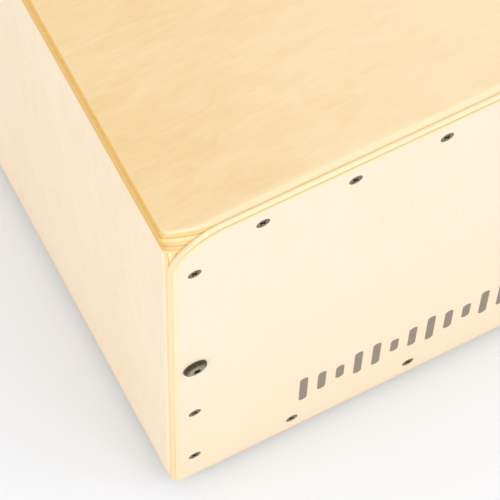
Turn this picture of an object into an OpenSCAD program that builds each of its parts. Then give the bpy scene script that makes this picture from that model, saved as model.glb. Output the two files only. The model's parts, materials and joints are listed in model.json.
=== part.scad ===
// Compact box drum (cajon) with a screwed front plate, two hex-socket
// tuning bolts, an inner snare and four rubber feet.
// Millimetres. X runs to the player's right as seen from the front, Y runs
// from the front plate to the back, Z is up. The origin is on the floor,
// under the centre of the whole drum.

/* [Body] */
// Outer width of the box
body_w = 300; // [260:1:330]
// Outer height of the box without its feet
body_h = 312; // [290:1:400]
// Depth from the front plate's face to the back
body_d = 295.5; // [240:0.5:320]
// Radius on the outer long edges
edge_r = 3; // [1:0.5:3]

/* [Plywood] */
// Thickness of the seat panel on top
seat_t = 12; // [9:1:15]
// Thickness of the two side panels
side_t = 9; // [8:1:12]
// Thickness of the bottom panel
floor_t = 9; // [9:1:12]
// Thickness of the back panel
back_t = 5; // [4:0.5:9]
// Thickness of the struck front plate
plate_t = 3; // [2.6:0.2:4]

/* [Front plate] */
// Corner radius at the top of the front plate
top_corner_r = 30; // [12:1:34]
// Corner radius at the bottom of the front plate
low_corner_r = 6; // [3:1:10]
// How far back the body's corners are sanded to meet the plate
corner_blend = 9.2; // [6:0.2:14]
// How far the body's front edges draw in behind the plate
edge_draw = 1.1; // [0:0.1:1.5]
// Radius on the front plate's front edge
plate_edge_r = 2.2; // [0.5:0.1:2.6]

/* [Frame battens] */
// Width of the battens behind the front plate
front_batten_w = 18; // [16:1:22]
// Depth of the battens behind the front plate
front_batten_d = 15; // [12:1:18]
// Width and depth of the battens in front of the back panel
rear_batten = 12; // [10:1:18]

/* [Sound hole] */
// Diameter of the sound hole
hole_d = 100; // [70:1:120]
// Height of its centre above the box's bottom
hole_z = 182; // [150:1:200]
// Chamfer on both of its edges
hole_chamfer = 0.8; // [0.5:0.1:1.5]

/* [Front screws] */
// Distance of the side screws and bolts from the box's sides
side_inset = 13.5; // [13:0.5:16]
// Distance of the top and bottom screws from the box's ends
end_inset = 15.5; // [14:0.5:18]
// Diameter of a screw's head
screw_head_d = 7.4; // [6:0.1:8]
// Diameter of a screw's shank
screw_d = 3.5; // [3:0.1:4]
// Length of a screw
screw_len = 17; // [14:1:18]

/* [Tuning bolts] */
// Depth of the bolts below the top of the box
bolt_drop = 153; // [140:1:170]
// Thread diameter of a bolt
bolt_d = 6; // [5:1:6]
// Length of a bolt under its head
bolt_len = 20; // [18:1:22]
// Diameter of a bolt's domed head
bolt_head_d = 12.4; // [10.4:0.2:13]
// Height of a bolt's domed head
bolt_head_h = 1.8; // [1.6:0.1:3.3]
// Width across the flats of the hex socket
socket_af = 4; // [3:0.5:4]
// Diameter of the washer
washer_d = 13.6; // [12:0.2:16]
// Thickness of the washer
washer_t = 1; // [0.8:0.1:1.6]

/* [Snare] */
// Height of the snare bar's middle above the box's bottom
snare_bar_z = 190; // [180:1:220]
// Height of the snare bar
snare_bar_h = 15; // [12:1:18]
// Number of wires in each fan
wires_per_fan = 10; // [6:1:12]
// Distance between wires
wire_pitch = 4; // [3:0.5:5]
// Length of the wires that shows between their two clips
wire_len = 74; // [60:1:76]
// Diameter of a coiled wire
wire_d = 1.8; // [1.2:0.1:2]

/* [Feet] */
// Height of a rubber foot
foot_h = 8; // [6:1:12]
// Diameter of a rubber foot at its top
foot_d = 26; // [20:1:30]
// Distance of each foot's centre from the box's outer faces
foot_inset = 26; // [20:1:40]

/* [Hidden] */

$fn = 64;
plain_fn = 32;
skin = 0.01;
half_w = body_w / 2;
base_z = foot_h;
top_z = base_z + body_h;
under_seat = top_z - seat_t;
over_floor = base_z + floor_t;
inner_x = half_w - side_t;

// The bolt heads stand in front of the plate, and the origin is centred on
// the whole depth, heads included.
running_gap = 0.05;
head_proud = washer_t + bolt_head_h + running_gap;
face_y = head_proud - (body_d + head_proud) / 2;
frame_y = face_y + plate_t;
rear_y = face_y + body_d;
wall_end_y = rear_y - back_t;

batten_low = over_floor + front_batten_w;
batten_high = under_seat - front_batten_w;
rear_low = over_floor + rear_batten;
rear_high = under_seat - rear_batten;

// The front plate's screw pattern: sixths of the width along the top,
// quarters along the bottom, and an even step up the lower part of each
// side, ending at the tuning bolt. The upper side is left free to slap.
top_row_x = [for (i = [1:5]) -half_w + i * body_w / 6];
bottom_row_x = [for (i = [1:3]) -half_w + i * body_w / 4];
column_step = 64;
corner_screw_drop = 37;
column_z = [
    top_z - corner_screw_drop,
    top_z - bolt_drop - column_step,
    top_z - bolt_drop - 2 * column_step
];
top_row_z = top_z - end_inset;
bottom_row_z = base_z + end_inset;
column_x = half_w - side_inset;
bolt_z = top_z - bolt_drop;

head_sunk = 0.1;
fit_gap = 0.05;
screw_r = screw_d / 2;
screw_head_r = screw_head_d / 2;
screw_tip = 4;
screw_point_r = 0.2;
cross_w = 1.1;
cross_depth = 1.6;
cross_share = 0.58;

insert_d = 8;
insert_len = 12;
insert_sunk = 0.5;
bolt_hole_r = bolt_d / 2 + 0.3;
bolt_rim_h = 0.7;
crown_share = 0.55;
bolt_chamfer = 0.8;
socket_depth = 2;

bar_low_z = base_z + snare_bar_z - snare_bar_h / 2;
bar_high_z = bar_low_z + snare_bar_h;
bar_mid_z = base_z + snare_bar_z;
bar_half = inner_x - front_batten_w;
frame_back_y = frame_y + front_batten_d;

strap_w = 12;
strap_t = 1.5;
strap_overhang = 17;
strap_screw_x = [bar_half + front_batten_w / 2, bar_half - strap_overhang / 2];
small_screw_r = 1.4;
small_head_r = 2.7;
small_head_h = 1.4;
small_crown_share = 0.75;
small_screw_len = 10;
slot_w = 0.6;
slot_depth = 0.7;

clip_h = 9;
clip_t = 2.6;
tip_h = 5;
tip_t = 2;
ear_t = 1;
ear_w = 9;
fan_offset = 52;
fan_half = (wires_per_fan - 1) / 2 * wire_pitch;
clip_half = fan_half + ear_w;
tip_half = fan_half + wire_pitch / 2;
clip_gap = 0.2;
clip_y = frame_y + clip_gap;
bar_front_y = clip_y + clip_t;
wire_y = clip_y + 1;
clip_z = bar_high_z - clip_h;
tip_z = bar_high_z + wire_len;
clip_screw_x = fan_half + ear_w / 2 + clip_gap * 2;

foot_taper = 3;
foot_band = 2;
foot_hole_r = 2.1;
foot_pocket_r = 5;
foot_head_r = 4.6;
foot_head_slope = 0.8;
foot_cross = 4;
foot_head_z = 2;
foot_pocket_h = 4.5;
foot_screw_r = 2;
foot_bite = 7.5;
foot_x = half_w - foot_inset;
foot_front_y = frame_y + foot_inset;
foot_rear_y = rear_y - foot_inset;
foot_spots = [
    [-foot_x, foot_front_y], [foot_x, foot_front_y],
    [-foot_x, foot_rear_y], [foot_x, foot_rear_y]
];

birch = "#f3d9a8";
plate_birch = "#fbe8c6";
batten_wood = "#dcb987";
black_steel = "#2b2a26";
bright_steel = "#a9abad";
brass = "#b8923f";
rubber = "#26262a";

// ---- shapes that repeat ----

// A box given by its two opposite corners
module block(low, high) {
    translate(low) cube(high - low);
}

// A cylinder along +Y that starts at the point at
module rod_y(at, r, len) {
    translate(at) rotate([-90, 0, 0]) cylinder(r = r, h = len);
}

// A cone along +Y from radius r1 at the point at to radius r2
module cone_y(at, r1, r2, len) {
    translate(at) rotate([-90, 0, 0]) cylinder(r1 = r1, r2 = r2, h = len);
}

// A flat panel's section with its two outer long edges rounded
module rounded_section(w, t, r) {
    translate([-w / 2, 0]) square([w, t - r]);
    translate([-w / 2 + r, 0]) square([w - 2 * r, t]);
    for (s = [-1, 1]) translate([s * (w / 2 - r), t - r]) circle(r = r);
}

// The sanding behind the front plate: how fast the corners tighten and how
// fast the drawn-in edge comes back out, in how many slabs
corner_fade = 1.3;
edge_fade = 4;
slab_spread = 1.5;
slabs = 5;

// What is left of the sanding at the distance behind from the plate, 1 to 0
function sanding_left(behind, fade) = pow(1 - behind / corner_blend, fade);

// A corner radius of the box at the distance behind from the front plate:
// it starts as the plate's own radius r and shrinks to the box's
function sanded_r(r, behind) = max(edge_r, r * sanding_left(behind, corner_fade));

// The room that the box's panels may fill: square at the back, and drawn in
// and rounded towards the front plate, as if sanded
module sanded_box() {
    steps = [for (i = [0:slabs]) pow(i / slabs, slab_spread) * corner_blend];
    translate([0, frame_y, base_z + body_h / 2])
    for (i = [1:slabs]) hull()
        for (y = [steps[i - 1], steps[i]])
            translate([0, y + skin, 0]) rotate([90, 0, 0]) linear_extrude(skin)
                board_outline(sanded_r(top_corner_r, y), sanded_r(low_corner_r, y),
                              edge_draw * sanding_left(y, edge_fade));
    block([-half_w, frame_y + corner_blend, base_z], [half_w, wall_end_y, top_z]);
}

// The outline that the front plate and the back panel share, in X and Z
module board_outline(top_r, low_r, inset) {
    high = body_h / 2;
    for (s = [-1, 1]) {
        translate([s * (half_w - top_r), high - top_r]) circle(r = top_r - inset);
        translate([s * (half_w - low_r), low_r - high]) circle(r = low_r - inset);
    }
}

// A thin board as wide and high as the box. Its outer face is at y = 0 and
// its thickness t runs along +Y; soft is the radius on the outer edge.
module rounded_board(top_r, low_r, t, soft) {
    turn = 90 / slabs;
    translate([0, 0, base_z + body_h / 2])
    hull() {
        translate([0, t, 0]) rotate([90, 0, 0]) linear_extrude(t - soft)
            board_outline(top_r, low_r, 0);
        for (a = [0:turn:90 - turn])
            translate([0, soft * (1 - cos(a)) + skin, 0]) rotate([90, 0, 0])
                linear_extrude(skin) board_outline(top_r, low_r, soft * (1 - sin(a)));
    }
}

// A countersunk wood screw along +Y with its head's face at the point at
module wood_screw(at) {
    neck = screw_head_r - screw_r;
    difference() {
        union() {
            cone_y(at, screw_head_r, screw_r, neck);
            rod_y(at, screw_r, screw_len - screw_tip);
            cone_y(at + [0, screw_len - screw_tip, 0], screw_r, screw_point_r, screw_tip);
        }
        translate(at) cross_recess(screw_head_r * cross_share);
    }
}

// The cross-shaped driver recess, cut from y = 0 inwards
module cross_recess(arm) {
    for (turn = [45, 135]) rotate([0, turn, 0])
        translate([-arm, -0.1, -cross_w / 2]) cube([2 * arm, cross_depth, cross_w]);
}

// The countersunk hole that a front screw sits in, plate and batten at once
module screw_hole(x, z) {
    neck = screw_head_r - screw_r;
    at = [x, face_y + head_sunk, z];
    rod_y([x, face_y - 1, z], screw_head_r + fit_gap, 1 + head_sunk);
    cone_y(at, screw_head_r + fit_gap, screw_r + fit_gap, neck);
    rod_y(at, screw_r + fit_gap, screw_len + 0.2);
}

// The holes for all the front screws
module every_front_hole() {
    for (x = top_row_x) screw_hole(x, top_row_z);
    for (x = bottom_row_x) screw_hole(x, bottom_row_z);
    for (s = [-1, 1], z = column_z) screw_hole(s * column_x, z);
}

// The front screw that fits the hole at x and z
module front_screw(x, z) {
    wood_screw([x, face_y + head_sunk, z]);
}

// The two holes for the tuning bolts, r in radius, from y = from to y = to
module bolt_holes(r, from, to) {
    for (s = [-1, 1]) rod_y([s * column_x, from, bolt_z], r, to - from);
}

// A domed hex-socket bolt; its head's underside is just off the washer
module tuning_bolt(side) {
    under = face_y - washer_t - running_gap;
    difference() {
        translate([side * column_x, under, bolt_z]) {
            rotate([90, 0, 0]) cylinder(d = bolt_head_d, h = bolt_rim_h);
            translate([0, -bolt_rim_h, 0]) rotate([90, 0, 0])
                button_dome(bolt_head_d / 2, bolt_head_h - bolt_rim_h);
            rod_y([0, 0, 0], bolt_d / 2, bolt_len - bolt_chamfer);
            cone_y([0, bolt_len - bolt_chamfer, 0], bolt_d / 2, bolt_d / 2 - bolt_chamfer,
                   bolt_chamfer);
        }
        translate([side * column_x, under - bolt_head_h - 1, bolt_z]) rotate([-90, 0, 0])
            cylinder(d = socket_af / cos(30), h = socket_depth + 1, $fn = 6);
    }
}

// A domed head, r in radius at its foot and h high, with a flat crown
module button_dome(r, h) {
    crown_r = r * crown_share;
    sink = (r * r - crown_r * crown_r - h * h) / (2 * h);
    intersection() {
        translate([0, 0, -sink]) sphere(r = sqrt(r * r + sink * sink));
        cylinder(r = r + 1, h = h);
    }
}

module washer(side) {
    rest = face_y - running_gap / 2;
    difference() {
        rod_y([side * column_x, rest - washer_t, bolt_z], washer_d / 2, washer_t);
        rod_y([side * column_x, rest - washer_t - 1, bolt_z], bolt_hole_r, washer_t + 2);
    }
}

module threaded_insert(side) {
    start = frame_y + insert_sunk;
    difference() {
        rod_y([side * column_x, start, bolt_z], insert_d / 2, insert_len);
        rod_y([side * column_x, start - 1, bolt_z], bolt_d / 2 + running_gap, insert_len + 2);
    }
}

module side_panel(side) {
    mirror([side > 0 ? 1 : 0, 0, 0])
    intersection() {
        block([-half_w, frame_y, over_floor], [-inner_x, wall_end_y, under_seat]);
        sanded_box();
    }
}

module front_upright(side) {
    mirror([side > 0 ? 1 : 0, 0, 0])
    difference() {
        block([-inner_x, frame_y, batten_low],
              [front_batten_w - inner_x, frame_y + front_batten_d, batten_high]);
        every_front_hole();
        bolt_holes(bolt_hole_r, frame_y - 1, frame_y + front_batten_d + 1);
        bolt_holes(insert_d / 2, frame_y - 1, frame_y + insert_sunk + insert_len);
        mirror([1, 0, 0]) strap_shanks(fit_gap);
    }
}

module rear_upright(side) {
    mirror([side > 0 ? 1 : 0, 0, 0])
        block([-inner_x, wall_end_y - rear_batten, rear_low],
              [rear_batten - inner_x, wall_end_y, rear_high]);
}

// Steel strap that ties the snare bar's end to the batten beside it
module snare_strap(side) {
    mirror([side < 0 ? 1 : 0, 0, 0])
    difference() {
        block([bar_half - strap_overhang, frame_back_y, bar_mid_z - strap_w / 2],
              [inner_x - 1, frame_back_y + strap_t, bar_mid_z + strap_w / 2]);
        strap_shanks(fit_gap);
    }
}

// The shanks of the right strap's two screws, fatter by gap
module strap_shanks(gap) {
    for (x = strap_screw_x)
        rod_y([x, frame_back_y + strap_t - small_screw_len - gap, bar_mid_z],
              small_screw_r + gap, small_screw_len + gap);
}

// The shanks of the four clip screws, fatter by gap
module clip_shanks(gap) {
    for (s = [-1, 1], e = [-1, 1])
        rod_y([s * fan_offset + e * clip_screw_x, bar_front_y - ear_t, clip_z + clip_h / 2],
              small_screw_r + gap, small_screw_len + gap);
}

// A slotted pan head; its flat side is at the point at and it stands along
// -Y, or along +Y if back is true
module pan_head(at, back) {
    translate(at) rotate([back ? -90 : 90, 0, 0])
    difference() {
        cylinder(r1 = small_head_r, r2 = small_head_r * small_crown_share, h = small_head_h);
        translate([-small_head_r, -slot_w / 2, small_head_h - slot_depth])
            cube([2 * small_head_r, slot_w, slot_depth + 1]);
    }
}

// One fan's wires, side by side and upright
module fan_wires(side) {
    for (i = [0:wires_per_fan - 1])
        translate([side * fan_offset + i * wire_pitch - fan_half, wire_y, clip_z + 1])
            cylinder(d = wire_d, h = tip_z + tip_h - clip_z - 2, $fn = plain_fn);
}

// The clip that holds a fan's lower ends, with a thin ear on each side
module snare_clip(side) {
    mid = side * fan_offset;
    back_y = clip_y + clip_t;
    difference() {
        union() {
            block([mid - tip_half, clip_y, clip_z], [mid + tip_half, back_y, bar_high_z]);
            block([mid - clip_half, back_y - ear_t, clip_z],
                  [mid + clip_half, back_y, bar_high_z]);
        }
        fan_wires(side);
        clip_shanks(fit_gap);
    }
}

// The strip that keeps a fan's free upper ends apart
module snare_tip(side) {
    mid = side * fan_offset;
    difference() {
        block([mid - tip_half, clip_y, tip_z], [mid + tip_half, clip_y + tip_t, tip_z + tip_h]);
        fan_wires(side);
    }
}

module foot(spot) {
    translate([spot[0], spot[1], 0])
    difference() {
        union() {
            cylinder(d1 = foot_d - foot_taper, d2 = foot_d, h = foot_h - foot_band);
            translate([0, 0, foot_h - foot_band]) cylinder(d = foot_d, h = foot_band);
        }
        translate([0, 0, -1]) cylinder(r = foot_pocket_r, h = foot_pocket_h + 1);
        cylinder(r = foot_hole_r, h = foot_h + 1);
    }
}

// The holes that the foot screws bite into, fatter than the screws by gap
module foot_shanks(gap) {
    for (spot = foot_spots) translate([spot[0], spot[1], base_z - 1])
        cylinder(r = foot_screw_r + gap, h = foot_bite + 1 + gap);
}

// ---- box ----

module top_panel() {
    color(birch) intersection() {
        translate([0, wall_end_y, under_seat]) rotate([90, 0, 0])
            linear_extrude(wall_end_y - frame_y) rounded_section(body_w, seat_t, edge_r);
        sanded_box();
    }
}

module bottom_panel() {
    color(birch) difference() {
        intersection() {
            translate([0, frame_y, over_floor]) rotate([-90, 0, 0])
                linear_extrude(wall_end_y - frame_y) rounded_section(body_w, floor_t, edge_r);
            sanded_box();
        }
        foot_shanks(fit_gap);
    }
}

module left_side_panel() { color(birch) side_panel(-1); }
module right_side_panel() { color(birch) side_panel(1); }

module back_panel() {
    mid = [0, wall_end_y, base_z + hole_z];
    wide = hole_d / 2 + hole_chamfer;
    color(birch) difference() {
        translate([0, rear_y, 0]) mirror([0, 1, 0])
            rounded_board(edge_r, edge_r, back_t, edge_r * 0.8);
        rod_y(mid + [0, -1, 0], hole_d / 2, back_t + 2);
        cone_y(mid, wide, hole_d / 2, hole_chamfer);
        cone_y(mid + [0, back_t - hole_chamfer, 0], hole_d / 2, wide, hole_chamfer);
    }
}

module front_plate() {
    color(plate_birch) difference() {
        translate([0, face_y, 0])
            rounded_board(top_corner_r, low_corner_r, plate_t, plate_edge_r);
        every_front_hole();
        bolt_holes(bolt_hole_r, face_y - 1, frame_y + 1);
    }
}

// ---- frame battens ----

module front_batten_top() {
    color(batten_wood) difference() {
        block([-inner_x, frame_y, batten_high],
              [inner_x, frame_y + front_batten_d, under_seat]);
        every_front_hole();
    }
}

module front_batten_bottom() {
    color(batten_wood) difference() {
        block([-inner_x, frame_y, over_floor],
              [inner_x, frame_y + front_batten_d, batten_low]);
        every_front_hole();
    }
}

module front_batten_left() { color(batten_wood) front_upright(-1); }
module front_batten_right() { color(batten_wood) front_upright(1); }

module rear_batten_top() {
    color(batten_wood) block([-inner_x, wall_end_y - rear_batten, rear_high],
                             [inner_x, wall_end_y, under_seat]);
}

module rear_batten_bottom() {
    color(batten_wood) block([-inner_x, wall_end_y - rear_batten, over_floor],
                             [inner_x, wall_end_y, rear_low]);
}

module rear_batten_left() { color(batten_wood) rear_upright(-1); }
module rear_batten_right() { color(batten_wood) rear_upright(1); }

// ---- front screws ----

module top_row_screws() {
    color(black_steel) for (x = top_row_x) front_screw(x, top_row_z);
}

module left_column_screws() {
    color(black_steel) for (z = column_z) front_screw(-column_x, z);
}

module right_column_screws() {
    color(black_steel) for (z = column_z) front_screw(column_x, z);
}

module bottom_row_screws() {
    color(black_steel) for (x = bottom_row_x) front_screw(x, bottom_row_z);
}

// ---- tuning bolts ----

module left_tuning_bolt() { color(black_steel) tuning_bolt(-1); }
module right_tuning_bolt() { color(black_steel) tuning_bolt(1); }
module left_washer() { color(black_steel) washer(-1); }
module right_washer() { color(black_steel) washer(1); }
module left_threaded_insert() { color(brass) threaded_insert(-1); }
module right_threaded_insert() { color(brass) threaded_insert(1); }

// ---- snare ----

module snare_bar() {
    color(batten_wood) difference() {
        block([-bar_half, bar_front_y, bar_low_z], [bar_half, frame_back_y, bar_high_z]);
        for (s = [0, 1]) mirror([s, 0, 0]) strap_shanks(fit_gap);
        clip_shanks(fit_gap);
    }
}

module left_snare_strap() { color(bright_steel) snare_strap(-1); }
module right_snare_strap() { color(bright_steel) snare_strap(1); }

module strap_screws() {
    color(bright_steel) for (s = [0, 1]) mirror([s, 0, 0]) {
        strap_shanks(0);
        for (x = strap_screw_x) pan_head([x, frame_back_y + strap_t, bar_mid_z], true);
    }
}

module left_snare_clip() { color(bright_steel) snare_clip(-1); }
module right_snare_clip() { color(bright_steel) snare_clip(1); }

module clip_screws() {
    color(bright_steel) {
        clip_shanks(0);
        for (s = [-1, 1], e = [-1, 1])
            pan_head([s * fan_offset + e * clip_screw_x, bar_front_y - ear_t,
                      clip_z + clip_h / 2], false);
    }
}

module left_snare_wires() { color(bright_steel) fan_wires(-1); }
module right_snare_wires() { color(bright_steel) fan_wires(1); }
module left_snare_tip() { color(bright_steel) snare_tip(-1); }
module right_snare_tip() { color(bright_steel) snare_tip(1); }

// ---- feet ----

module front_left_foot() { color(rubber) foot(foot_spots[0]); }
module front_right_foot() { color(rubber) foot(foot_spots[1]); }
module rear_left_foot() { color(rubber) foot(foot_spots[2]); }
module rear_right_foot() { color(rubber) foot(foot_spots[3]); }

module foot_screws() {
    color(bright_steel) for (spot = foot_spots) translate([spot[0], spot[1], foot_head_z])
    difference() {
        union() {
            cylinder(r = foot_screw_r, h = base_z + foot_bite - foot_head_z);
            cylinder(r1 = foot_head_r - foot_head_slope, r2 = foot_head_r, h = foot_pocket_h - foot_head_z);
        }
        translate([0, 0, -0.1]) for (turn = [0, 90]) rotate(turn)
            translate([-foot_cross / 2, -cross_w / 2, 0])
                cube([foot_cross, cross_w, cross_depth]);
    }
}

top_panel();
bottom_panel();
left_side_panel();
right_side_panel();
back_panel();
front_plate();
front_batten_top();
front_batten_bottom();
front_batten_left();
front_batten_right();
rear_batten_top();
rear_batten_bottom();
rear_batten_left();
rear_batten_right();
top_row_screws();
left_column_screws();
right_column_screws();
bottom_row_screws();
left_tuning_bolt();
right_tuning_bolt();
left_washer();
right_washer();
left_threaded_insert();
right_threaded_insert();
snare_bar();
left_snare_strap();
right_snare_strap();
strap_screws();
left_snare_clip();
right_snare_clip();
clip_screws();
left_snare_wires();
right_snare_wires();
left_snare_tip();
right_snare_tip();
front_left_foot();
front_right_foot();
rear_left_foot();
rear_right_foot();
foot_screws();
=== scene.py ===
"""The looks of a box drum (cajon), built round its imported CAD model.

Metres, in the CAD frame: +X to the right seen from the front, +Y from the front
plate to the back, +Z up. Every mesh is made in that frame with its object at the
origin, so a material's Object coordinates are the CAD's own.
"""
import json
import math

import bmesh
import bpy
from mathutils import Matrix, Vector


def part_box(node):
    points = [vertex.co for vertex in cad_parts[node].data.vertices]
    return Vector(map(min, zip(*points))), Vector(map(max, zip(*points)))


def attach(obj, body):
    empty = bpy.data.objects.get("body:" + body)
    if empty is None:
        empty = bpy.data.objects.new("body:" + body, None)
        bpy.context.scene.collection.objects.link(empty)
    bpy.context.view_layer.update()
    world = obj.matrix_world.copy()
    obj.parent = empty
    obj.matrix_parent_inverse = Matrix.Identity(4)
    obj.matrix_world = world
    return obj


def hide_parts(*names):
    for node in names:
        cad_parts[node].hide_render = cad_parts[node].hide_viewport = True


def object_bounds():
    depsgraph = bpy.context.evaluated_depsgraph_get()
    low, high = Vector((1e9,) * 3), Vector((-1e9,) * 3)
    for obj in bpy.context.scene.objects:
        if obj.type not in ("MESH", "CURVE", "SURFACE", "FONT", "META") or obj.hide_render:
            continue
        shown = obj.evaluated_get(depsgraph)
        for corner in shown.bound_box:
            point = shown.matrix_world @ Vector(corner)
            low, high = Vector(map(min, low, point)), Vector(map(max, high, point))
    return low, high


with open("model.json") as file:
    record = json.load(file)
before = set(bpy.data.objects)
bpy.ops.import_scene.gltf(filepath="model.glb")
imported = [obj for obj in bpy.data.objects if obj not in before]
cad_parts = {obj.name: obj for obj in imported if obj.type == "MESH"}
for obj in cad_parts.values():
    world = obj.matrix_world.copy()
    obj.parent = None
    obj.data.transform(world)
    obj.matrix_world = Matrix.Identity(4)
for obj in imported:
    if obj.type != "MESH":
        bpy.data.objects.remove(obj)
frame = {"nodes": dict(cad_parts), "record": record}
cad_low, cad_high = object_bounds()

MM = 0.001
BODY_OF = {
    node: body
    for body, members in frame["record"]["behaviour"]["bodies"].items()
    for node in members
}
SLOT_OF = {part["node"]: part["material_slot"] for part in frame["record"]["subparts"]}

# The front plate's corner radii, and the sanding of the panels behind its corners.
TOP_CORNER = 0.030
LOW_CORNER = 0.006
SANDED_DEPTH = 0.0092
SANDING_FADE = 1.3


def srgb(red, green, blue):
    """A scene-linear colour from display values of 0 to 255."""
    values = []
    for v in (red, green, blue):
        v /= 255
        values.append(v / 12.92 if v <= 0.04045 else ((v + 0.055) / 1.055) ** 2.4)
    return (*values, 1.0)


def scaled(colour, share):
    """A colour made darker or lighter by share."""
    return (*(share * v for v in colour[:3]), 1.0)


def halfway(one, other):
    """The colour between two others."""
    return tuple(0.5 * (a + b) for a, b in zip(one, other))


# ---- material nodes ----


class Paint:
    """One material's node tree, with short calls for the nodes that finishes share."""

    def __init__(self, name):
        self.material = bpy.data.materials.new(name)
        self.material.use_nodes = True
        self.tree = self.material.node_tree
        self.shader = self.tree.nodes["Principled BSDF"]
        self.place = self.node("ShaderNodeTexCoord").outputs["Object"]

    def node(self, kind):
        return self.tree.nodes.new(kind)

    def put(self, value, socket):
        """Links a socket to a socket, or sets a number, colour or vector on it."""
        if isinstance(value, bpy.types.NodeSocket):
            self.tree.links.new(value, socket)
        elif value is not None:
            socket.default_value = value

    def sum(self, kind, a, b=None, c=None):
        """A math node's result; kind is its operation."""
        n = self.node("ShaderNodeMath")
        n.operation = kind
        for value, socket in zip((a, b, c), n.inputs):
            self.put(value, socket)
        return n.outputs[0]

    def length(self, a, b):
        """The length of the vector (a, b)."""
        return self.sum("SQRT", self.sum("MULTIPLY_ADD", a, a, self.sum("MULTIPLY", b, b)))

    def mix(self, share, a, b, blend="MIX"):
        n = self.node("ShaderNodeMix")
        n.data_type = "RGBA"
        n.blend_type = blend
        self.put(share, n.inputs["Factor"])
        self.put(a, n.inputs["A"])
        self.put(b, n.inputs["B"])
        return n.outputs["Result"]

    def axes(self, vector=None):
        """The three parts of a vector, or of the object's coordinates."""
        n = self.node("ShaderNodeSeparateXYZ")
        self.put(vector or self.place, n.inputs[0])
        return n.outputs

    def stretched(self, scale, vector=None):
        """A vector, or the object's coordinates, times scale."""
        n = self.node("ShaderNodeMapping")
        n.inputs["Scale"].default_value = scale
        self.put(vector or self.place, n.inputs["Vector"])
        return n.outputs[0]

    def noise(self, vector, scale=1.0, detail=3.0, rough=0.5, twist=0.0):
        n = self.node("ShaderNodeTexNoise")
        self.put(vector, n.inputs["Vector"])
        for name, value in (("Scale", scale), ("Detail", detail),
                            ("Roughness", rough), ("Distortion", twist)):
            n.inputs[name].default_value = value
        return n.outputs["Fac"]

    def ramp(self, share, *stops):
        """A colour ramp; each stop is (position, colour)."""
        n = self.node("ShaderNodeValToRGB")
        self.put(share, n.inputs[0])
        elements = n.color_ramp.elements
        while len(elements) > 1:
            elements.remove(elements[-1])
        elements[0].position, elements[0].color = stops[0]
        for position, colour in stops[1:]:
            elements.new(position).color = colour
        return n.outputs["Color"]

    def step(self, value, low, high, out_low=0.0, out_high=1.0):
        """Runs smoothly from out_low to out_high as value goes from low to high."""
        n = self.node("ShaderNodeMapRange")
        n.interpolation_type = "SMOOTHSTEP"
        self.put(value, n.inputs["Value"])
        for name, number in (("From Min", low), ("From Max", high),
                             ("To Min", out_low), ("To Max", out_high)):
            n.inputs[name].default_value = number
        return n.outputs["Result"]

    def bump(self, height, distance, strength=1.0):
        n = self.node("ShaderNodeBump")
        n.inputs["Strength"].default_value = strength
        n.inputs["Distance"].default_value = distance
        self.put(height, n.inputs["Height"])
        self.put(n.outputs[0], self.shader.inputs["Normal"])

    def set(self, **values):
        """Sets or links the shader's sockets; coat_weight stands for Coat Weight."""
        for name, value in values.items():
            title = " ".join(w if w == "IOR" else w.capitalize() for w in name.split("_"))
            self.put(value, self.shader.inputs[title])
        return self.material


def along(axis, long, wide):
    """A stretch with long on the grain's axis and wide on the other two."""
    return tuple(long if i == axis else wide for i in range(3))


def swayed(p, axis, reach):
    """The object's coordinates, swayed across the grain by up to half of reach."""
    sway = p.noise(p.stretched(along(axis, 14, 26)), detail=3, rough=0.55)
    lean = p.sum("MULTIPLY", p.sum("SUBTRACT", sway, 0.5), reach)
    aside = p.node("ShaderNodeCombineXYZ")
    for i in range(3):
        if i != axis:
            p.put(lean, aside.inputs[i])
    moved = p.node("ShaderNodeVectorMath")
    moved.operation = "ADD"
    p.put(p.place, moved.inputs[0])
    p.put(aside.outputs[0], moved.inputs[1])
    return moved.outputs[0]


def wood_face(p, axis, light, dark, fleck, contrast):
    """A sliced veneer's colour and its height: fibres, waves, clouds and flecks."""
    bent = swayed(p, axis, 0.02)
    fibres = p.noise(p.stretched(along(axis, 80, 560), bent), detail=5, rough=0.65)
    waves = p.noise(p.stretched(along(axis, 38, 130), bent), detail=3, rough=0.6, twist=0.8)
    clouds = p.noise(p.stretched(along(axis, 9, 20), bent), detail=4, rough=0.6)
    blend = 0.55
    for layer, strength in ((fibres, 0.95), (waves, 1.1), (clouds, 1.3)):
        swing = p.sum("SUBTRACT", layer, 0.5)
        blend = p.sum("MULTIPLY_ADD", swing, strength * contrast, blend)
    dashes = p.noise(p.stretched(along(axis, 110, 900), bent), detail=1, rough=0.4)
    specks = p.step(dashes, 0.62, 0.75, 0, 0.32 * contrast)
    colour = p.mix(specks, p.mix(blend, dark, light), fleck)
    return colour, p.sum("MULTIPLY_ADD", specks, -1.0, p.sum("MULTIPLY", fibres, 0.6))


def ply_edge(p, depth_mm, thick_mm, plies):
    """Five plies by their depth, with thin dark glue lines, and fibres in each."""
    cream, peach, glue = plies
    share = p.sum("DIVIDE", depth_mm, thick_mm)
    soft = halfway(peach, glue)
    half = halfway(peach, cream)
    layers = p.ramp(share, (0.0, peach), (0.17, peach), (0.195, glue), (0.225, glue),
                    (0.25, cream), (0.38, cream), (0.42, peach), (0.58, peach),
                    (0.605, glue), (0.635, glue), (0.66, half), (0.79, peach), (0.82, soft),
                    (0.85, half), (1.0, cream))
    fibre = p.noise(p.stretched((900, 900, 900)), detail=3, rough=0.7)
    return p.mix(p.step(fibre, 0.5, 0.8, 0, 0.3), layers, soft)


def facing(p, axis, low=0.25, high=0.7):
    """1 where the surface faces along axis, either way, falling to 0 aside of it."""
    normal = p.node("ShaderNodeNewGeometry").outputs["Normal"]
    return p.step(p.sum("ABSOLUTE", p.axes(normal)[axis]), low, high)


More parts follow.
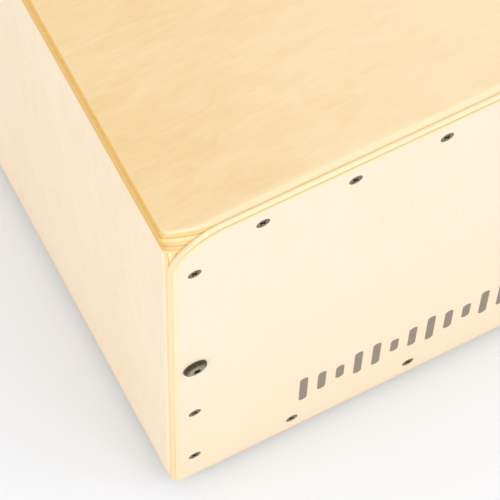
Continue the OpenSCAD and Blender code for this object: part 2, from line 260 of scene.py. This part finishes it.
def end_grain(p, axis, colour, tint):
    """Tints colour in streaks where the surface faces along axis, as fibre ends do."""
    streaks = p.noise(p.stretched((420, 420, 900)), detail=4, rough=0.75)
    tinted = p.mix(1.0, colour, tint, "MULTIPLY")
    deeper = p.mix(1.0, tinted, tuple(t ** 0.5 for t in tint), "MULTIPLY")
    return p.mix(facing(p, axis), colour, p.mix(p.step(streaks, 0.35, 0.7), tinted, deeper))


def plywood(p, axis, outer, inward, thick, grain, veneer, plies, skin=0.4, contrast=1.0,
            ends=None):
    """Birch plywood whose plies lie across axis; outer is where its good face is.
    Where its face is sanded away the veneer pales, and below skin, in mm, the plies
    show. ends is an axis and the tint that edges take where they face along it."""
    depth = p.sum("MULTIPLY", p.sum("SUBTRACT", p.axes()[axis], outer), inward / MM)
    wander = p.noise(p.stretched((90, 90, 90)), detail=2)
    deep = p.sum("MULTIPLY_ADD", p.sum("SUBTRACT", wander, 0.5), 0.2, depth)
    thick_mm = thick / MM
    light, dark, worn = veneer
    face, height = wood_face(p, grain, light, dark, plies[1], contrast)
    crest = p.step(depth, 0.015, 0.2, 0, 0.9)
    edge = ply_edge(p, deep, thick_mm, plies)
    if ends:
        end_axis, tint = ends
        edge = end_grain(p, end_axis, edge, tint)
        aside = facing(p, end_axis, 0.1, 0.35)
        crest = p.sum("MULTIPLY", crest, p.sum("SUBTRACT", 1, aside))
        deep = p.sum("MULTIPLY_ADD", aside, skin, deep)
    face = p.mix(crest, face, worn)
    inner = p.step(deep, skin - 0.15, skin + 0.15)
    behind = p.step(deep, thick_mm - 0.5, thick_mm - 0.3, 1, 0)
    return p.mix(p.sum("MULTIPLY", inner, behind), face, edge), height


def lacquered(p, colour, height):
    """A thin satin lacquer over wood."""
    p.bump(height, 0.00012, 0.5)
    return p.set(base_color=colour, roughness=0.5, coat_weight=0.12, coat_roughness=0.35)


def edge_distance(p, node):
    """How far inside the front plate's outline a point is, in mm, seen along Y."""
    low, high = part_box(node)
    half_w, half_h = (high.x - low.x) / 2, (high.z - low.z) / 2
    axes = p.axes()
    up = p.sum("SUBTRACT", axes[2], (low.z + high.z) / 2)
    upper = p.sum("GREATER_THAN", up, 0)
    radius = p.sum("MULTIPLY_ADD", upper, TOP_CORNER - LOW_CORNER, LOW_CORNER)
    past_x = p.sum("ADD", p.sum("SUBTRACT", p.sum("ABSOLUTE", axes[0]), half_w), radius)
    past_z = p.sum("ADD", p.sum("SUBTRACT", p.sum("ABSOLUTE", up), half_h), radius)
    x, z = (p.sum("MAXIMUM", v, 0) for v in (past_x, past_z))
    flat = p.sum("MINIMUM", p.sum("MAXIMUM", past_x, past_z), 0)
    reach = p.sum("ADD", p.length(x, z), flat)
    return p.sum("DIVIDE", p.sum("SUBTRACT", radius, reach), MM)


def level_bars(p, node):
    """Where a row of upright round-ended bars is printed low on a board: 1 on a bar."""
    pitch, half_w, middle, each_side = 0.0115, 0.0026, 0.061, 6
    least, swell, blur = 0.0035, 0.0095, 0.0002
    axes = p.axes()
    number = p.sum("ROUND", p.sum("DIVIDE", axes[0], pitch))
    across = p.sum("SUBTRACT", axes[0], p.sum("MULTIPLY", number, pitch))
    wave = p.sum("ABSOLUTE", p.sum("SINE", p.sum("MULTIPLY_ADD", number, 0.9, 0.7)))
    tall = p.sum("MULTIPLY_ADD", wave, swell, least)
    up = p.sum("ABSOLUTE", p.sum("SUBTRACT", axes[2], middle))
    past = p.sum("MAXIMUM", p.sum("SUBTRACT", up, tall), 0)
    bar = p.step(p.length(across, past), half_w - blur, half_w + blur, 1, 0)
    in_row = p.sum("LESS_THAN", p.sum("ABSOLUTE", axes[0]), (each_side + 0.5) * pitch)
    on_face = p.sum("LESS_THAN", axes[1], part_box(node)[0].y + 0.0005)
    return p.sum("MULTIPLY", bar, p.sum("MULTIPLY", in_row, on_face))


# ---- meshes ----


def adopt(node, mesh, material):
    """Shows mesh, made in the CAD frame, in the place of a CAD node."""
    piece = bpy.data.objects.new(node + "_look", mesh)
    bpy.context.scene.collection.objects.link(piece)
    mesh.materials.clear()
    mesh.materials.append(material)
    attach(piece, BODY_OF[node])
    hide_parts(node)
    return piece


def softened(node, material, width, segments=2, angle=35):
    """A copy of a CAD node with its sharp edges eased by width."""
    mesh = frame["nodes"][node].data.copy()
    mesh.name = node + "_mesh"
    if mesh.has_custom_normals:
        mesh.attributes.remove(mesh.attributes["custom_normal"])
    work = bmesh.new()
    work.from_mesh(mesh)
    bmesh.ops.remove_doubles(work, verts=work.verts, dist=0.000002)
    bmesh.ops.dissolve_limit(work, angle_limit=math.radians(1), verts=work.verts,
                             edges=work.edges)
    work.to_mesh(mesh)
    work.free()
    mesh.shade_smooth()
    piece = adopt(node, mesh, material)
    bevel = piece.modifiers.new("eased edges", "BEVEL")
    bevel.width = width
    bevel.segments = segments
    bevel.limit_method = "ANGLE"
    bevel.angle_limit = math.radians(angle)
    bevel.harden_normals = True
    return piece


# ---- finishes ----

# Each ply set is its cream and peach plies and its glue lines; each veneer is its
# light and dark figure and its sanded edge.
PLIES = srgb(252, 230, 180), srgb(247, 212, 152), srgb(220, 184, 112)
PALE_PLIES = srgb(250, 232, 202), srgb(247, 222, 184), srgb(232, 204, 160)
SEAT_VENEER = srgb(249, 224, 180), srgb(241, 210, 157), srgb(254, 236, 198)
# The sides, back and base: the seat's plywood, its veneer made paler and less golden as painted
# light for the brighter light on the sides.
SIDE_VENEER_PAINTED_LIGHT = srgb(244, 225, 195), srgb(238, 215, 180), srgb(248, 229, 196)
PLATE_VENEER = srgb(251, 233, 207), srgb(248, 228, 198), srgb(252, 232, 194)
GOLD_ENDS = (0.86, 0.74, 0.4, 1)
PEACH_ENDS = (1.0, 0.96, 0.92, 1)


def panel_paint(node, axis, inward, grain, veneer, plies=PLIES, **more):
    """The plywood of a CAD panel whose good face looks against inward along axis."""
    low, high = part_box(node)
    outer = low[axis] if inward > 0 else high[axis]
    p = Paint(node.replace("_", " "))
    colour, height = plywood(p, axis, outer, inward, high[axis] - low[axis], grain, veneer,
                             plies, **more)
    return p, colour, height


def worn_corners(p, node):
    """1 on the seat's flat top close to its two sanded front corners, 0 elsewhere."""
    low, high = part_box(node)
    axes = p.axes()
    behind = p.sum("DIVIDE", p.sum("SUBTRACT", axes[1], low.y), SANDED_DEPTH)
    left = p.sum("MAXIMUM", p.sum("SUBTRACT", 1, behind), 0)
    radius = p.sum("MULTIPLY", p.sum("POWER", left, SANDING_FADE), TOP_CORNER)
    past = p.sum("ADD", p.sum("SUBTRACT", p.sum("ABSOLUTE", axes[0]), high.x), radius)
    near = p.sum("MULTIPLY", p.step(past, -0.0045, 0), p.step(left, 0.02, 0.3))
    return p.sum("MULTIPLY", near, p.step(axes[2], high.z - 0.0007, high.z - 0.0003))


def make_seat():
    """The seat's veneer: painted shade makes it warmer and darker at its left, and painted light
    pales it towards the right.
    """
    node = "top_panel"
    p, colour, height = panel_paint(node, 2, -1, 0, SEAT_VENEER, skin=0.75, contrast=1.25,
                                    ends=(0, GOLD_ENDS))
    drift = p.sum("ADD", p.axes()[0], p.sum("MULTIPLY", p.axes()[1], -0.25))
    # Painted light and shade: darker and warmer to the left, paler to the right, as the light
    # falls across the seat.
    painted_shade_left = p.step(drift, -0.16, 0.05, 0.9, 0)
    painted_light_right = p.step(drift, -0.1, 0.1, 0, 0.4)
    colour = p.mix(painted_shade_left, colour, p.mix(1.0, colour, srgb(250, 246, 236), "MULTIPLY"))
    colour = p.mix(painted_light_right, colour, srgb(254, 234, 196))
    worn = p.sum("MULTIPLY", worn_corners(p, node), 0.75)
    colour = p.mix(worn, colour, SEAT_VENEER[2])
    softened(node, lacquered(p, colour, height), 0.0011, segments=3, angle=22)


def make_shell():
    """The base, the sides and the back."""
    for node, axis, inward, grain, more in (
            ("bottom_panel", 2, 1, 0, {"plies": PALE_PLIES, "ends": (0, PEACH_ENDS)}),
            ("left_side_panel", 0, 1, 2, {}),
            ("right_side_panel", 0, -1, 2, {}),
            ("back_panel", 1, -1, 2, {})):
        p, colour, height = panel_paint(node, axis, inward, grain, SIDE_VENEER_PAINTED_LIGHT, **more)
        softened(node, lacquered(p, colour, height), 0.0003)


def make_front_plate():
    """A paler plate, a little warmer low down, with the printed bars. Its rounded edge
    is sanded through the veneer, with a dark glue line and a warmer, darker fringe of painted
    shade beside it."""
    node = "front_plate"
    p, colour, height = panel_paint(node, 1, 1, 2, PLATE_VENEER, contrast=0.6)
    rim_w, fringe_w = 0.8, 7.0
    inside = edge_distance(p, node)
    # Painted shade: a warmer, darker fringe from the rim to 7 mm in, as the light falls off where
    # the face turns over the rounded edge.
    painted_edge_shade = p.step(inside, rim_w, fringe_w, 0.9, 0)
    colour = p.mix(painted_edge_shade, colour, srgb(250, 228, 176))
    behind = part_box(node)[1].y
    rim = p.mix(p.step(p.axes()[1], behind - 0.0009, behind - 0.0004),
                srgb(251, 236, 196), srgb(247, 220, 168))
    rim = end_grain(p, 0, rim, (0.95, 0.85, 0.8, 1))
    colour = p.mix(p.step(inside, rim_w, rim_w + 0.4, 1, 0), colour, rim)
    line = p.sum("MULTIPLY", p.step(inside, 0.5, 0.9), p.step(inside, 1.4, 2.0, 1, 0))
    weak = p.step(facing(p, 0, 0.1, 0.6), 0, 1, 1, 0.25)
    colour = p.mix(p.sum("MULTIPLY", line, weak), colour, srgb(226, 198, 138))
    warmer = p.mix(1.0, colour, (0.995, 0.965, 0.9, 1), "MULTIPLY")
    colour = p.mix(p.step(p.axes()[2], 0.02, 0.2, 1, 0), colour, warmer)
    print_tone = p.mix(p.noise(p.stretched((500, 500, 500)), detail=2),
                       srgb(112, 98, 82), srgb(134, 118, 100))
    colour = p.mix(p.sum("MULTIPLY", level_bars(p, node), 0.94), colour, print_tone)
    softened(node, lacquered(p, colour, height), 0.00015)


def pine(name, grain):
    """Planed softwood with pale early wood and ruddy late wood in growth rings."""
    ring, heart = 0.0021, (0.31, 0.22)
    p = Paint(name)
    axes = p.axes()
    sway = p.noise(p.stretched(along(grain, 5, 30)), detail=2)
    across = [axes[i] for i in range(3) if i != grain]
    radius = p.length(*(p.sum("ADD", a, far) for a, far in zip(across, heart)))
    turns = p.sum("MULTIPLY_ADD", radius, math.tau / ring, p.sum("MULTIPLY", sway, 11))
    late = p.step(p.sum("SINE", turns), 0.1, 0.97, 0, 0.75)
    fibres = p.noise(p.stretched(along(grain, 60, 1400)), detail=4, rough=0.7)
    early = p.mix(fibres, srgb(226, 196, 146), srgb(243, 218, 172))
    colour = end_grain(p, grain, p.mix(late, early, srgb(206, 160, 104)), (0.8, 0.7, 0.6, 1))
    p.bump(p.sum("MULTIPLY_ADD", late, 0.5, fibres), 0.0001, 0.6)
    return p.set(base_color=colour, roughness=0.68)


def black_steel(name, tone, recess):
    """Blackened steel, rubbed bright in places; painted shade darkens it in a recess past y =
    recess.
    """
    p = Paint(name)
    rubbed = p.noise(p.stretched((700, 700, 700)), detail=4, rough=0.7)
    cloud = p.noise(p.stretched((260, 260, 260)), detail=2)
    wear = p.step(p.sum("ADD", rubbed, cloud), 0.8, 1.25)
    colour = p.mix(wear, scaled(tone, 0.7), scaled(tone, 1.25))
    # Painted shade: past y = recess, inside a screw's cross or a bolt's socket, the steel is
    # darkened as if in shadow.
    deep = p.step(p.axes()[1], recess, recess + 0.0005, 0, 0.75)
    colour = p.mix(deep, colour, srgb(34, 30, 22))
    p.bump(rubbed, 0.00003, 0.6)
    return p.set(base_color=colour, metallic=0.9, roughness=p.step(cloud, 0.3, 0.7, 0.3, 0.45))


def zinc(name):
    """Zinc-plated steel: a faint spangle, a bluish sheen and fine rolling lines."""
    p = Paint(name)
    cells = p.node("ShaderNodeTexVoronoi")
    cells.inputs["Scale"].default_value = 900
    p.put(p.place, cells.inputs["Vector"])
    lines = p.noise(p.stretched((90, 2600, 2600)), detail=2)
    spangle = p.axes(cells.outputs["Color"])[0]
    tone = p.mix(p.sum("MULTIPLY_ADD", spangle, 0.35, p.sum("MULTIPLY", lines, 0.65)),
                 srgb(164, 167, 170), srgb(218, 219, 217))
    p.bump(lines, 0.00002, 0.5)
    return p.set(base_color=tone, metallic=1.0, roughness=p.step(lines, 0.3, 0.7, 0.24, 0.4))


def bright_wire(name):
    """Drawn steel wire, with duller patches where it was handled."""
    p = Paint(name)
    patch = p.noise(p.stretched((120, 120, 60)), detail=3)
    colour = p.mix(patch, srgb(196, 194, 188), srgb(232, 231, 228))
    return p.set(base_color=colour, metallic=1.0, roughness=p.step(patch, 0.3, 0.7, 0.32, 0.16))


def turned_brass(name):
    """Brass with the fine rings of a lathe along Y and a light tarnish."""
    p = Paint(name)
    rings = p.sum("SINE", p.sum("MULTIPLY", p.axes()[1], math.tau / 0.0004))
    tarnish = p.noise(p.stretched((240, 240, 240)), detail=4, rough=0.65)
    colour = p.mix(tarnish, srgb(176, 134, 70), srgb(222, 190, 118))
    p.bump(rings, 0.00003, 0.6)
    return p.set(base_color=colour, metallic=1.0, roughness=p.step(tarnish, 0.3, 0.7, 0.4, 0.25))


def black_rubber(name):
    """Moulded rubber, finely grained, with patches of dust."""
    p = Paint(name)
    grain = p.noise(p.stretched((2200, 2200, 2200)), detail=2)
    dust = p.noise(p.stretched((180, 180, 180)), detail=4, rough=0.7)
    colour = p.mix(p.step(dust, 0.5, 0.8, 0, 0.5), srgb(34, 34, 36), srgb(72, 70, 68))
    p.bump(grain, 0.00008, 0.7)
    return p.set(base_color=colour, roughness=p.step(dust, 0.35, 0.7, 0.62, 0.85))


def make_battens():
    grains = [pine("pine along " + letter, axis) for axis, letter in enumerate("XYZ")]
    for node, slot in sorted(SLOT_OF.items()):
        if slot == "pine_batten":
            low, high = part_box(node)
            lengths = high - low
            longest = max(range(3), key=lambda axis: lengths[axis])
            softened(node, grains[longest], 0.0006)


def make_front_screws():
    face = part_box("front_plate")[0].y
    # From 0.4 mm behind the plate's face, the screws' cross recesses get painted shade.
    finish = black_steel("front screws", srgb(129, 118, 88), face + 0.0004)
    for node in ("top_row_screws", "left_column_screws", "right_column_screws",
                 "bottom_row_screws"):
        softened(node, finish, 0.00012)


def add_thread(work, axis_x, axis_z, start, length, pitch, radius, depth):
    """Adds a V thread's ridge along +Y from y = start to an open mesh."""
    per_turn = 20
    rows = []
    for i in range(int(length / pitch * per_turn) + 1):
        angle = math.tau * i / per_turn
        fade = min(1.0, i / per_turn, (length / pitch * per_turn - i) / per_turn)
        y = start + pitch * i / per_turn
        row = []
        for shift, out in ((-0.45, 0), (-0.08, 1), (0.08, 1), (0.45, 0)):
            r = radius - depth + depth * out * fade
            row.append(work.verts.new((axis_x + r * math.cos(angle), y + shift * pitch,
                                       axis_z + r * math.sin(angle))))
        rows.append(row)
    for row, after in zip(rows, rows[1:]):
        for a in range(3):
            work.faces.new((row[a], row[a + 1], after[a + 1], after[a])).smooth = True


def make_bolts():
    """Domed socket bolts with a cut thread and painted shade in the socket, and a washer under
    each whose darker tone is partly painted shade.
    """
    radius, depth, pitch, plain, point = 0.00298, 0.00045, 0.001, 0.001, 0.0015
    for side in ("left", "right"):
        node = side + "_tuning_bolt"
        low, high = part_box(node)
        middle = (low + high) / 2
        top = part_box(side + "_washer")[0].y
        # From 0.3 mm behind the head's face, the socket is darkened as painted shade.
        finish = black_steel(side + " bolt", srgb(158, 147, 116), low.y + 0.0003)
        piece = softened(node, finish, 0.00025)
        work = bmesh.new()
        work.from_mesh(piece.data)
        for v in work.verts:
            away = Vector((v.co.x - middle.x, v.co.z - middle.z))
            if 0.0028 < away.length < 0.0031 and v.co.y > top - 0.0002:
                away *= (radius - depth) / away.length
                v.co.x, v.co.z = middle.x + away.x, middle.z + away.y
        length = high.y - top - plain - point
        add_thread(work, middle.x, middle.z, top + plain, length, pitch, radius, depth)
        work.to_mesh(piece.data)
        work.free()
        # The washer is the bolt's black steel toned darker, partly as painted shade round the
        # head.
        dark = black_steel(side + " washer", srgb(92, 86, 68), high.y)
        softened(side + "_washer", dark, 0.0002)


def coil_mesh(name, columns, low, high, outer, wire):
    """Upright coils at each (x, y) in columns, made of a thin wire's helix."""
    pitch, per_turn, sides = 0.0016, 9, 4
    work = bmesh.new()
    steps = int((high - low) / pitch * per_turn)
    middle = outer - wire
    for x, y in columns:
        last = None
        for i in range(steps + 1):
            angle = math.tau * i / per_turn
            z = low + (high - low) * i / steps
            ring = []
            for k in range(sides):
                around = math.tau * k / sides
                r = middle + wire * math.cos(around)
                ring.append(work.verts.new((x + r * math.cos(angle), y + r * math.sin(angle),
                                            z + wire * math.sin(around))))
            if last:
                for k in range(sides):
                    n = (k + 1) % sides
                    work.faces.new((last[k], last[n], ring[n], ring[k])).smooth = True
            last = ring
    mesh = bpy.data.meshes.new(name)
    work.to_mesh(mesh)
    work.free()
    return mesh


def make_snare():
    """Two fans of coiled wires, and all that is zinc-plated: clips, tips, straps, screws."""
    count, end_gap, wire_r = 10, 0.0003, 0.00025
    plated = zinc("zinc plate")
    bright = bright_wire("snare wire")
    for side in ("left", "right"):
        node = side + "_snare_wires"
        low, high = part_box(node)
        outer = (high.y - low.y) / 2
        gap = (high.x - low.x - 2 * outer) / (count - 1)
        columns = [(low.x + outer + i * gap, low.y + outer) for i in range(count)]
        coils = coil_mesh(side + " coils", columns, low.z + end_gap, high.z - end_gap, outer,
                          wire_r)
        adopt(node, coils, bright)
    for node, slot in sorted(SLOT_OF.items()):
        if slot == "zinc_steel":
            softened(node, plated, 0.00015)


def foot_profile(low, high):
    """Half a foot's outline as (radius, z): a rounded tread, a waist groove, a collar."""
    wide = (high.x - low.x) / 2
    tall = high.z - low.z
    pocket_r, pocket_z, hole_r, lip = 0.005, 0.0045, 0.0021, 0.0004
    tread, taper, tread_steps, tread_step = 0.0012, 0.0015, 7, 14
    groove_z, groove_in, groove_half = tall - 0.002, 0.0008, 0.0005
    base = wide - taper - tread
    points = [(hole_r, tall), (hole_r, pocket_z), (pocket_r, pocket_z), (pocket_r, lip),
              (pocket_r + lip, 0)]
    for i in range(tread_steps):
        angle = math.radians(-90 + tread_step * i)
        points.append((base + tread * math.cos(angle), tread + tread * math.sin(angle)))
    points += [(wide - 0.0002, groove_z - groove_half), (wide - groove_in, groove_z - 0.0002),
               (wide - groove_in, groove_z + 0.0002), (wide - 0.0001, groove_z + groove_half),
               (wide, groove_z + 0.0008), (wide, tall - lip), (wide - lip, tall)]
    return points


def lathe(name, centre, profile, segments=56):
    """Turns a closed (radius, z) outline round an upright axis at centre."""
    work = bmesh.new()
    rings = []
    for i in range(segments):
        angle = math.tau * i / segments
        rings.append([work.verts.new((centre.x + r * math.cos(angle),
                                      centre.y + r * math.sin(angle), centre.z + z))
                      for r, z in profile])
    for i, ring in enumerate(rings):
        after = rings[(i + 1) % segments]
        for k in range(len(profile)):
            n = (k + 1) % len(profile)
            work.faces.new((ring[k], after[k], after[n], ring[n])).smooth = True
    bmesh.ops.recalc_face_normals(work, faces=work.faces)
    mesh = bpy.data.meshes.new(name)
    work.to_mesh(mesh)
    work.free()
    return mesh


def make_feet():
    rubber = black_rubber("black rubber")
    for end in ("front", "rear"):
        for side in ("left", "right"):
            node = f"{end}_{side}_foot"
            low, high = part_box(node)
            centre = Vector(((low.x + high.x) / 2, (low.y + high.y) / 2, low.z))
            adopt(node, lathe(node + "_mesh", centre, foot_profile(low, high)), rubber)


def make_inserts():
    brass = turned_brass("brass")
    for side in ("left", "right"):
        softened(side + "_threaded_insert", brass, 0.0002)


# ---- floor, light and camera ----


def make_floor():
    mesh = bpy.data.meshes.new("floor")
    work = bmesh.new()
    bmesh.ops.create_circle(work, cap_ends=True, segments=64, radius=6)
    work.to_mesh(mesh)
    work.free()
    floor = bpy.data.objects.new("floor", mesh)
    bpy.context.scene.collection.objects.link(floor)
    p = Paint("studio floor")
    cloud = p.noise(p.place, scale=3, detail=2)
    mesh.materials.append(p.set(base_color=p.mix(cloud, srgb(239, 243, 251), srgb(242, 246, 253)),
                                roughness=0.9))


def softbox(name, place, size, power, tint):
    """A square area light at place, turned to the drum's middle."""
    light = bpy.data.lights.new(name, "AREA")
    light.energy = power
    light.size = size
    light.color = tint
    lamp = bpy.data.objects.new(name, light)
    bpy.context.scene.collection.objects.link(lamp)
    lamp.location = place
    aim = (cad_low + cad_high) / 2
    lamp.rotation_euler = (aim - Vector(place)).to_track_quat("-Z", "Y").to_euler()


def make_light():
    world = bpy.data.worlds.new("studio")
    bpy.context.scene.world = world
    world.use_nodes = True
    sky = world.node_tree.nodes["Background"]
    sky.inputs["Color"].default_value = (1.0, 0.998, 0.992, 1)
    sky.inputs["Strength"].default_value = 0.88
    softbox("key", (1.4, -1.8, 2.2), 1.8, 15, (1.0, 0.99, 0.965))
    softbox("fill", (-2.2, -1.2, 1.0), 2.0, 18, (1.0, 0.995, 0.99))
    bpy.context.scene.view_settings.view_transform = "Standard"


def make_camera():
    """A long lens looking down on the left front corner of the seat."""
    azimuth, elevation, roll = (math.radians(a) for a in (29.8, 65.15, 2.36))
    aim_right, aim_front, distance = 0.0344, 0.0156, 1.319
    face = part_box("front_plate")[0].y
    aim = Vector((cad_low.x + aim_right, face - aim_front, cad_high.z))
    forward = Vector((math.sin(azimuth) * math.cos(elevation),
                      math.cos(azimuth) * math.cos(elevation), -math.sin(elevation)))
    level = Vector((math.cos(azimuth), -math.sin(azimuth), 0))
    up = level.cross(forward)
    right = level * math.cos(roll) + up * math.sin(roll)
    up = right.cross(forward)
    lens = bpy.data.cameras.new("camera")
    lens.lens = 204.2
    lens.sensor_width = 36
    lens.clip_start = 0.05
    camera = bpy.data.objects.new("camera", lens)
    bpy.context.scene.collection.objects.link(camera)
    turn = Matrix((right, up, -forward)).transposed().to_4x4()
    camera.matrix_world = Matrix.Translation(aim - forward * distance) @ turn
    bpy.context.scene.camera = camera


make_camera()
make_light()
make_floor()
make_seat()
make_shell()
make_front_plate()
make_battens()
make_front_screws()
make_bolts()
make_snare()
make_feet()
make_inserts()
